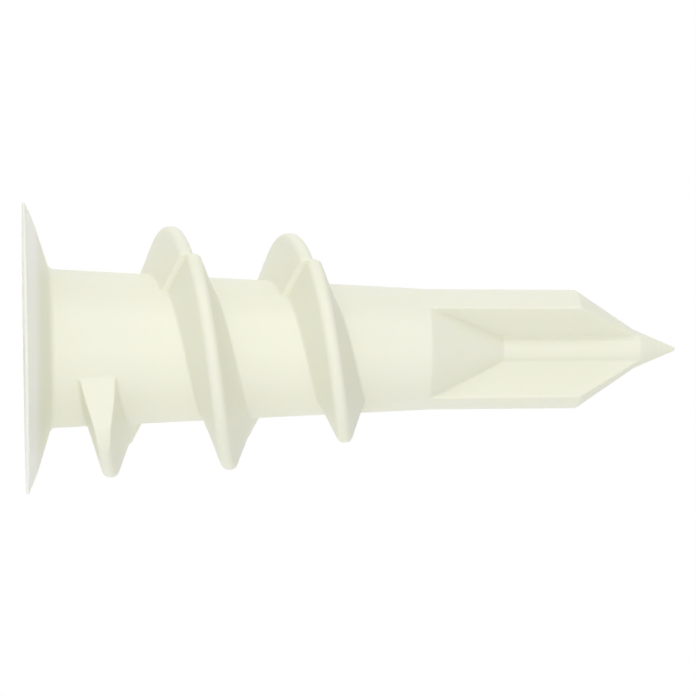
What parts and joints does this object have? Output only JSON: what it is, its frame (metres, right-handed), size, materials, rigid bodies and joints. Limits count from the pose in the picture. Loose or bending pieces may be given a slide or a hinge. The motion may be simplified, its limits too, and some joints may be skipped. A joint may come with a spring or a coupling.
{
  "type": "drywall anchor",
  "caption": "Self-drilling plastic wall anchor with a flat round head, a tapered shank with a deep coarse thread, and a fluted drill point.",
  "frame": {"origin": "centre of the head's outer face", "axes": "+Z along the shank's axis to the drill point; -Y towards the picture's camera and -X up in the picture"},
  "size_m": [0.0146, 0.0146, 0.033],
  "materials": {
    "nylon": "satin natural nylon, slightly translucent"
  },
  "bodies": {
    "root": {"anchor_body": "nylon"}
  },
  "joints": []
}
